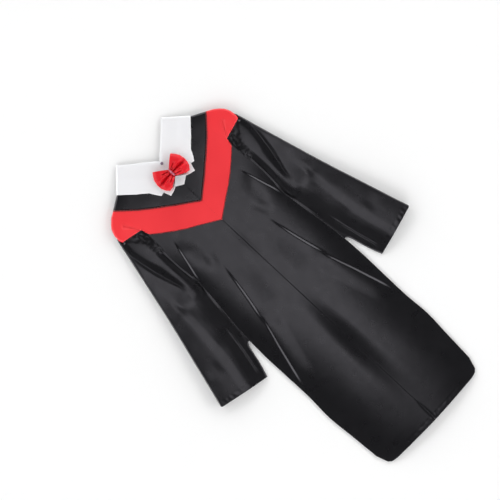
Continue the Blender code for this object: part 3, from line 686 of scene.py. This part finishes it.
def node(tree, kind, links=(), **settings):
    """Adds a shader node, sets its settings or input values, and links its inputs."""
    made = tree.nodes.new(kind)
    for name, value in settings.items():
        if hasattr(made, name):
            setattr(made, name, value)
        else:
            made.inputs[name.replace("_", " ")].default_value = value
    for socket, source in dict(links).items():
        tree.links.new(source, made.inputs[socket])
    return made


def cloth(name, colour, deep, rough, specular, weave, float_length, crumple):
    """Woven cloth. weave is the thread spacing and float_length how long one thread runs, in
    metres; crumple is the depth of its small creases."""
    made = bpy.data.materials.new(name)
    made.use_nodes = True
    tree = made.node_tree
    shader = tree.nodes["Principled BSDF"]
    place = node(tree, "ShaderNodeTexCoord").outputs["Object"]
    threads = node(tree, "ShaderNodeMapping", {"Vector": place},
                   Scale=(1 / weave, 1 / float_length, 1 / weave))
    weft = node(tree, "ShaderNodeTexNoise", {"Vector": threads.outputs["Vector"]},
                Scale=1.0, Detail=1.0, Roughness=0.5)
    creases = node(tree, "ShaderNodeTexNoise", {"Vector": place}, Scale=CRUMPLES_PER_METRE,
                   Detail=1.5, Roughness=0.45)
    shade = node(tree, "ShaderNodeTexNoise", {"Vector": place}, Scale=SHADES_PER_METRE,
                 Detail=2.0, Roughness=0.5)
    ramp = node(tree, "ShaderNodeValToRGB", {"Fac": shade.outputs["Fac"]})
    for stop, position, shown in zip(ramp.color_ramp.elements, (0.32, 0.68), (deep, colour)):
        stop.position = position
        stop.color = linear(shown)
    tree.links.new(ramp.outputs["Color"], shader.inputs["Base Color"])
    rough_range = node(tree, "ShaderNodeMapRange", {"Value": creases.outputs["Fac"]},
                       To_Min=rough - 0.03, To_Max=rough + 0.04)
    tree.links.new(rough_range.outputs["Result"], shader.inputs["Roughness"])
    fine = node(tree, "ShaderNodeBump", {"Height": weft.outputs["Fac"]},
                Strength=0.25, Distance=weave * 0.35)
    soft = node(tree, "ShaderNodeBump", {"Height": creases.outputs["Fac"],
                                         "Normal": fine.outputs["Normal"]},
                Strength=1.0, Distance=crumple)
    tree.links.new(soft.outputs["Normal"], shader.inputs["Normal"])
    shader.inputs["Specular IOR Level"].default_value = specular
    return made


def plain(name, colour, rough):
    """One colour with a fine grain, for thread, plastic and the floor."""
    made = bpy.data.materials.new(name)
    made.use_nodes = True
    tree = made.node_tree
    shader = tree.nodes["Principled BSDF"]
    place = node(tree, "ShaderNodeTexCoord").outputs["Object"]
    grain = node(tree, "ShaderNodeTexNoise", {"Vector": place}, Scale=GRAINS_PER_METRE, Detail=2.0)
    relief = node(tree, "ShaderNodeBump", {"Height": grain.outputs["Fac"]},
                  Strength=0.4, Distance=0.0002)
    tree.links.new(relief.outputs["Normal"], shader.inputs["Normal"])
    shader.inputs["Base Color"].default_value = linear(colour)
    shader.inputs["Roughness"].default_value = rough
    return made


def make_black_satin():
    """Polyester satin dyed black. Its long floats mirror the studio softly, so that slopes show as
    greys with a cold cast on a nearly black ground."""
    satin = cloth("black satin", "0A0A0C", "070709", 0.28, 0.60, SATIN_THREAD, SATIN_FLOAT, 0.00013)
    tint = satin.node_tree.nodes["Principled BSDF"].inputs["Specular Tint"]
    tint.default_value = linear("F8F5FF")
    return satin


def make_red_satin():
    """The same weave dyed red. The dye shows more than the mirror does, so it looks flat and full."""
    return cloth("red satin", "E9353B", "DF2E35", 0.40, 0.28, SATIN_THREAD, SATIN_FLOAT, 0.0002)


def make_red_ribbon():
    """Woven ribbon in a deeper red, smoother than the cut cloth, with a dim gloss on its loops."""
    return cloth("red satin ribbon", "DC1B28", "CA121E", 0.40, 0.26, SATIN_THREAD, SATIN_FLOAT,
                 0.0001)


def make_white_poplin():
    """Plain-woven cotton and polyester, matt, so that it stays an even cool white."""
    return cloth("white poplin", "E9E9EB", "E2E2E5", 0.75, 0.20, POPLIN_THREAD, POPLIN_FLOAT,
                 0.0001)


# The pieces
def make_front(side, hand, black):
    side_edge = tuple((row.half_width, row.drop) for row in BODY if row.drop <= HEM_EDGE[-1][1])
    side_edge = (side_edge[0], *curved(side_edge[1:-1], 6), side_edge[-1])
    middle = ((MITRE, FRONT_TOP_EDGE[0][1]), (MITRE, LENGTH))
    at_side = 0.92 + 0.08 * rise(np.linspace(0, 1, 13)[1:])
    q = np.concatenate([np.linspace(0, 0.92, 92), at_side])
    across, drop = patch(FRONT_TOP_EDGE, HEM_EDGE, middle, side_edge, np.linspace(0, 1, 300), q)
    across = np.maximum(across, MITRE)
    height = front_height(across, drop)
    to_side = nearest(side_edge, across, drop)[0]
    to_hem = nearest(HEM_EDGE, across, drop)[0]
    over_sleeve = 1 - smooth((drop - 0.40) / 0.04)
    height = height - over_sleeve * rounded(to_side, *TURN_OVER_SLEEVE)
    height = height - (1 - over_sleeve) * rounded(to_side, *TURN_OF_HEM)
    height = height - rounded(to_hem, *TURN_OF_HEM) - dip_at_stitches(to_hem)
    height = height + hem_puckers(to_hem, across, drop, 5)
    height = height + 0.00025 * ripple(across, drop * 0.3, 0.050, 3)
    obj = shell("front_cloth_" + hand, at(across, drop, height, side), black, side,
                edge=BUTTED_EDGE)
    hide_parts("front_" + hand)


def make_sleeve(side, hand, black):
    """A tube laid flat: the upper layer from the outer fold to the inner one, then the lower."""
    p = np.linspace(0, 1, 230) ** 1.15
    outer, inner = curved(SLEEVE_OUTER_EDGE, 5), curved(SLEEVE_INNER_EDGE, 5)
    armhole = curved(ARMHOLE, 5)
    across, drop = patch(armhole, CUFF, outer, inner, p, dense(78, 1.5))
    to_edge = np.minimum(nearest(outer, across, drop)[0], nearest(inner, across, drop)[0])
    to_cuff = nearest(CUFF, across, drop)[0]
    height = sleeve_height(across, drop) - dip_at_stitches(to_cuff)
    height = height + hem_puckers(to_cuff, across, drop, 8) * rise(to_edge / 0.006)
    height = height + 0.00025 * ripple(across, drop, 0.06, 4) * rise(to_edge / 0.01)
    turn = quarter_round(to_edge, SLEEVE_ROUND)
    top = at(across, drop, blend(FOLDED / 2, height, turn), side)
    across, drop = patch(armhole, CUFF, outer, inner, p, dense(34, 1.5)[-2:0:-1])
    to_edge = np.minimum(nearest(outer, across, drop)[0], nearest(inner, across, drop)[0])
    turn = quarter_round(to_edge, SLEEVE_UNDER_ROUND)
    under = at(across, drop, blend(FOLDED / 2, 0.0, turn), side)
    obj = shell("sleeve_cloth_" + hand, np.concatenate([top, under], axis=1), black, -side, True)
    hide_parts("sleeve_" + hand, "sleeve_under_" + hand)


def band(name, node_name, inner, outer, end, height, spacing, turn, material, side):
    """A strip of the V yoke, mitred at the centre front."""
    p = stations(outer, spacing)
    start = (inner[0], outer[0])
    across, drop = patch(start, end, inner, outer, p, dense(round(0.045 / spacing), 1.4))
    across = np.maximum(across, MITRE)
    top = height(across, drop) + CLOTH
    for line in (inner, outer):
        top = top - rounded(nearest(line, across, drop)[0], *turn)
    top = top + 0.00012 * ripple(across, drop, 0.03, 11)
    obj = shell(name, at(across, drop, top, side), material, -side)
    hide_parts(node_name)
    return obj


def make_red_band(side, hand, red):
    cap_end = SHOULDER_LINE[2:]
    obj = band("red_band_cloth_" + hand, "red_band_" + hand, RED_INNER_EDGE, RED_OUTER_EDGE,
               cap_end, red_bed, 0.0009, RED_TURN, red, side)


def make_black_band(side, hand, black):
    inner = ((0.0, NECK_POINT[1] + 0.0566), (0.0943, 0.0300))
    outer = tuple((a - 0.0001, d - 0.0001) for a, d in RED_INNER_EDGE)
    end = (inner[-1], (0.1045, 0.0399), outer[-1])
    obj = band("black_band_cloth_" + hand, "black_band_" + hand, inner, outer, end,
               lambda a, d: yoke_bed(a, d) + LAY_GAP, 0.0018, BLACK_TURN, black, side)


def make_collar(side, hand, white):
    neck = (NECK_POINT, COLLAR_CORNER)
    end = (COLLAR_CORNER, COLLAR_LOWER_EDGE[-1])
    obj = band("collar_cloth_" + hand, "collar_" + hand, neck, COLLAR_LOWER_EDGE, end,
               lambda a, d: collar_bed(a, d) + LAY_GAP, 0.0016, COLLAR_TURN, white, side)


def paint_yoke_seam_shadow(side, hand, seam_shadow_thread):
    """The seams that hold the red band, as broad dark stitches sunk into its two edges: dark red thread
    as painted seam shadow, darkening the band along both edges where shade falls in the seams.
    """
    for name, line, shift, width in (("inner", RED_INNER_EDGE, 0.0013, 0.0027),
                                     ("outer", RED_OUTER_EDGE[:6], -0.0010, 0.0016)):
        seam = tuple((a + 0.0004, d + shift) for a, d in line)
        stitches(f"{name}_yoke_stitches_{hand}", seam,
                 lambda a, d: red_bed(a, d) + CLOTH - 0.0007, seam_shadow_thread, side,
                 length=0.0026, width=width)


def make_tab(white):
    p, q = np.linspace(0, 1, 16), np.linspace(0, 1, 16)
    upper, lower = on_line(TAB_TOP_EDGE, p)[:, None], on_line(TAB_LOWER_EDGE, p)[:, None]
    places = blend(upper, lower, q[None, :, None])
    across, drop = places[..., 0], places[..., 1]
    half = at(across, drop, collar_top(across, drop) + LAY_GAP + CLOTH)
    obj = shell("collar_tab_cloth", half, white, -1, both=True)
    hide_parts("collar_tab")


def ray_places(rays, share, outwards):
    """Places on a bow at shares between its first and last ray and from its waist outwards."""
    steps = np.linspace(0, 1, len(rays))
    waist, outer_a, outer_d = (
        np.interp(share, steps, [getattr(ray, name) for ray in rays]) for name in BowRay._fields)
    across = blend(BOW_WAIST, outer_a[:, None], outwards[None])
    drop = BOW_DROP + blend(waist[:, None], outer_d[:, None], outwards[None])
    return across, drop


def make_white_bow(side, hand, white):
    share = np.linspace(0, 1, 51)
    across, drop = ray_places(WHITE_BOW_RAYS, share, np.linspace(0, 1, 26))
    tip_lift = 0.0030 * smooth((share[:, None] - 0.83) / 0.17)
    height = bow_floor(across, drop) + LAY_GAP + CLOTH + tip_lift
    obj = shell("white_bow_cloth_" + hand, at(across, drop, height, side), white, side)
    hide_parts("white_bow_" + hand)


def bow_pleats(share, out):
    """How far the pleats of a red loop sink, which are narrow at its waist and fade outwards."""
    sunk = 0.0
    for pleat in BOW_PLEATS:
        spread = pleat.width * (0.35 + 0.65 * np.minimum(out / pleat.reach, 1.0))
        t = (share[:, None] - pleat.place) / spread
        fade = (0.25 + 0.75 * smooth(out / 0.20)) * (1 - smooth((out / pleat.reach - 0.55) / 0.45))
        sunk = sunk - pleat.depth * blend(bump(t), crest(t), 0.2) * fade
    return sunk


def make_red_bow(side, hand, red):
    """A loop of ribbon: its lower layer from the waist outwards, then its upper one back."""
    share = np.linspace(0, 1, 85)
    outwards = dense(46, 1.5)
    across, drop = ray_places(RED_BOW_RAYS, share, outwards)
    floor = bow_floor(across, drop) + CLOTH + 2 * LAY_GAP + 0.0003
    out = outwards[None]
    puff = PUFF * rise(out / 0.5) * rise((1.04 - out) / 0.45)
    thick = blend(RIBBON_WAIST, RIBBON_END, smooth((out - 0.9) / 0.1))
    top = floor + thick + puff + bow_pleats(share, out)
    end_turn = quarter_round(1 - out, 0.05)
    middle = floor + 0.0016
    top, low = blend(middle, top, end_turn), blend(middle, floor, end_turn)
    ring = np.concatenate([at(across, drop, low, side), at(across, drop, top, side)[:, -2::-1]], 1)
    obj = shell("red_bow_cloth_" + hand, ring, red, -side)
    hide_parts("red_bow_" + hand)


def make_back(black):
    shoulder = ((0.0926, 0.0326), (0.1035, 0.0425), (0.1275, 0.0560), (0.1420, 0.0645),
                (0.1470, 0.0700))
    sides = tuple((a - 0.0006, d) for a, d in ARMHOLE[1:] + SLEEVE_INNER_EDGE[1:5])
    seam = tuple((row.half_width - 0.001, row.drop) for row in BODY if 0.413 <= row.drop <= 0.765)
    first = (shoulder[0], (0.0, 0.1134), (0.0, LENGTH - 0.001))
    last = (shoulder[-1],) + sides + seam
    hem = (first[-1], (0.1035, 0.7704), last[-1])
    across, drop = patch(shoulder, hem, first, last, np.linspace(0, 1, 200), np.linspace(0, 1, 40))
    height = BACK_TOP - BACK_UNEVEN * (1 + ripple(across, drop, 0.05, 21))
    obj = shell("back_cloth", at(across, drop, height), black, wall=BACK_THIN, both=True)
    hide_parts("back")


def make_back_strips(white):
    """The white strips inside the back's neck, seen past the collar."""
    neck = ((0.0, 0.0556), (0.0626, 0.0022))
    outer = ((0.0, 0.1128), (0.0920, 0.0320))
    across, drop = patch((neck[0], outer[0]), (neck[1], outer[1]), neck, outer,
                         np.linspace(0, 1, 60), dense(30))
    obj = shell("collar_back_cloth", at(across, drop, BACK_TOP), white, -1, both=True)
    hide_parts("collar_back")


def make_knot(thread):
    """Thread wound round the bow's waist: a coil of turns side by side, fuller in its middle. Its pink
    colour is a painted highlight, a sheen put into the colour of the knot.
    """
    turns, steps = 13, 16
    length, half_bulge = 0.0150, 0.0090
    half_width, half_height = 0.0015, 0.0014
    t = np.linspace(0, turns, turns * steps + 1)
    drop = BOW_DROP + (t / turns - 0.5) * length
    base = max(float(bow_floor(np.array(0.003), np.array(BOW_DROP + s)))
               for s in (-half_bulge, 0, half_bulge))
    centre = base + CLOTH + 2 * LAY_GAP + 0.0003 + RIBBON_WAIST + 0.0023
    bulge = np.sqrt(np.maximum(1 - ((drop - BOW_DROP) / half_bulge) ** 2, 0.05))
    points = at(half_width * bulge * np.sin(t * 2 * math.pi), drop,
                centre + half_height * bulge * np.cos(t * 2 * math.pi))
    curve = bpy.data.curves.new("bow_knot_thread", "CURVE")
    curve.dimensions = "3D"
    curve.bevel_depth = 0.00062
    curve.bevel_resolution = 2
    curve.use_fill_caps = True
    spline = curve.splines.new("POLY")
    spline.points.add(len(points) - 1)
    for place, point in zip(spline.points, points):
        place.co = (*point, 1)
    obj = bpy.data.objects.new("bow_knot_thread", curve)
    bpy.context.scene.collection.objects.link(obj)
    curve.materials.append(thread)
    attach(obj, "root")
    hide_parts("bow_knot")


def stitch_hems(side, hand, black_thread):
    hem = tuple((a * (1 - 0.009), d - HEM_STITCHING) for a, d in HEM_EDGE)
    stitches("hem_stitches_" + hand, hem,
             lambda a, d: front_height(a, d) - 0.0004, black_thread, side)
    cuff = on_line(CUFF, np.linspace(0.06, 0.985, 20))
    cuff = tuple((a - HEM_STITCHING * 0.25, d - HEM_STITCHING * 0.97) for a, d in cuff)
    stitches("cuff_stitches_" + hand, cuff,
             lambda a, d: sleeve_height(a, d) - 0.0004, black_thread, side)


# Floor, light and camera
def make_floor():
    size = 6.0
    points = np.array([(-size, -size, 0), (size, -size, 0), (size, size, 0), (-size, size, 0)])
    material = plain("pale studio floor", "F4F4F4", 0.9)
    floor = mesh_of("studio_floor", points - (0, 0, 0.0002), np.array([(0, 1, 2, 3)]), material)


def area_light(name, place, aim, size, power):
    data = bpy.data.lights.new(name, "AREA")
    data.shape = "RECTANGLE"
    data.size, data.size_y = size
    data.energy = power
    light = bpy.data.objects.new(name, data)
    bpy.context.scene.collection.objects.link(light)
    light.location = place
    light.rotation_euler = (Vector(aim) - Vector(place)).to_track_quat("-Z", "Y").to_euler()


def make_studio():
    """White walls all round a dim ceiling, with one softbox straight above: satin lying flat shows
    the softbox, its gentle slopes show the dim ceiling, and its steep creases the bright walls."""
    world = bpy.data.worlds.new("studio")
    bpy.context.scene.world = world
    world.use_nodes = True
    tree = world.node_tree
    background = tree.nodes["Background"]
    background.inputs["Color"].default_value = (1, 1, 1, 1)
    direction = node(tree, "ShaderNodeTexCoord").outputs["Generated"]
    parts = node(tree, "ShaderNodeSeparateXYZ", {"Vector": direction})
    ceiling_from, ceiling_full = (math.sin(math.radians(angle))
                                  for angle in (CEILING_FROM, CEILING_FULL))
    wall = node(tree, "ShaderNodeMapRange", {"Value": parts.outputs["Z"]},
                interpolation_type="SMOOTHSTEP", From_Min=ceiling_from, From_Max=ceiling_full,
                To_Min=WALL_LIGHT, To_Max=CEILING_LIGHT)
    tree.links.new(wall.outputs["Result"], background.inputs["Strength"])
    area_light("overhead softbox", (0, -0.07, 3.0), (0, -0.07, 0), (0.85, 1.62), 8.2)
    bpy.context.scene.view_settings.view_transform = "Standard"


def make_camera():
    """Straight above the gown, turned so that it lies across the picture as in the photograph."""
    data = bpy.data.cameras.new("camera")
    data.lens = 85
    data.sensor_width = 36
    camera = bpy.data.objects.new("camera", data)
    bpy.context.scene.collection.objects.link(camera)
    camera.location = CAMERA_PLACE
    camera.rotation_euler = (0, 0, math.radians(CAMERA_TURN))
    bpy.context.scene.camera = camera


def main():
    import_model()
    black, red, ribbon = make_black_satin(), make_red_satin(), make_red_ribbon()
    white = make_white_poplin()
    # pink thread for the bow's knot, its colour a painted highlight
    thread = plain("pink thread, painted highlight", "C06A80", 0.55)
    black_thread = plain("black sewing thread", "1B1B1E", 0.5)
    # dark red thread for the painted seam shadow along the red band's two edges
    seam_shadow_thread = plain("dark red thread, painted seam shadow", "5A0D10", 0.6)
    snap_plastic = plain("mauve plastic", "7D6C80", 0.35)
    make_back(black)
    make_back_strips(white)
    for side, hand in ((1, "left"), (-1, "right")):
        make_front(side, hand, black)
        make_sleeve(side, hand, black)
        make_red_band(side, hand, red)
        make_black_band(side, hand, black)
        make_collar(side, hand, white)
        paint_yoke_seam_shadow(side, hand, seam_shadow_thread)
        make_white_bow(side, hand, white)
        make_red_bow(side, hand, ribbon)
        stitch_hems(side, hand, black_thread)
    make_tab(white)
    make_knot(thread)
    snap = bpy.data.objects["neck_snap"].data
    snap.materials.clear()
    snap.materials.append(snap_plastic)
    make_floor()
    make_studio()
    make_camera()


main()
